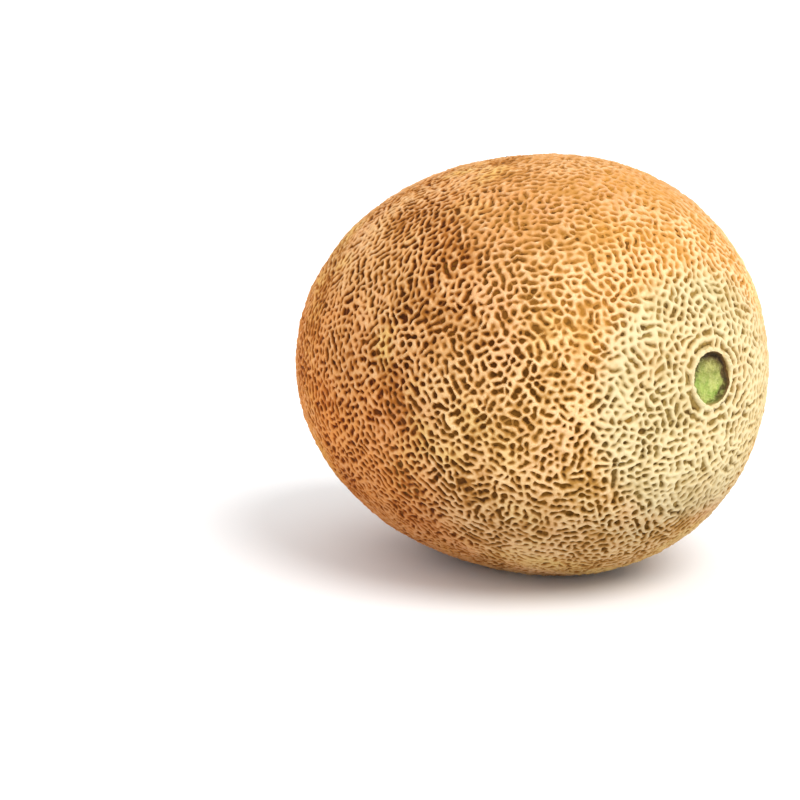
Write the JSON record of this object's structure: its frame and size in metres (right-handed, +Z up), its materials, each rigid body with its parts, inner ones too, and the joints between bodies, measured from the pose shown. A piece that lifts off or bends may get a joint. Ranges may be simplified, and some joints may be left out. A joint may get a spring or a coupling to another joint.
{
  "type": "netted melon",
  "caption": "Whole netted muskmelon lying on its side, with a raised cork net all over, corky rings round the round stem scar, and a small flat spot to rest on.",
  "frame": {"origin": "on the surface that the melon rests on, under the middle of its bounding box", "axes": "+Z up; +X towards the stem end, along the melon's length, whose axis is raised by about five degrees at that end; +Y to its side"},
  "size_m": [0.1794, 0.1508, 0.1488],
  "materials": {
    "rind": "dry pale cork net over a satin tan to olive skin; greenish fibrous stem scar"
  },
  "bodies": {
    "root": {"melon": "rind"}
  },
  "joints": []
}
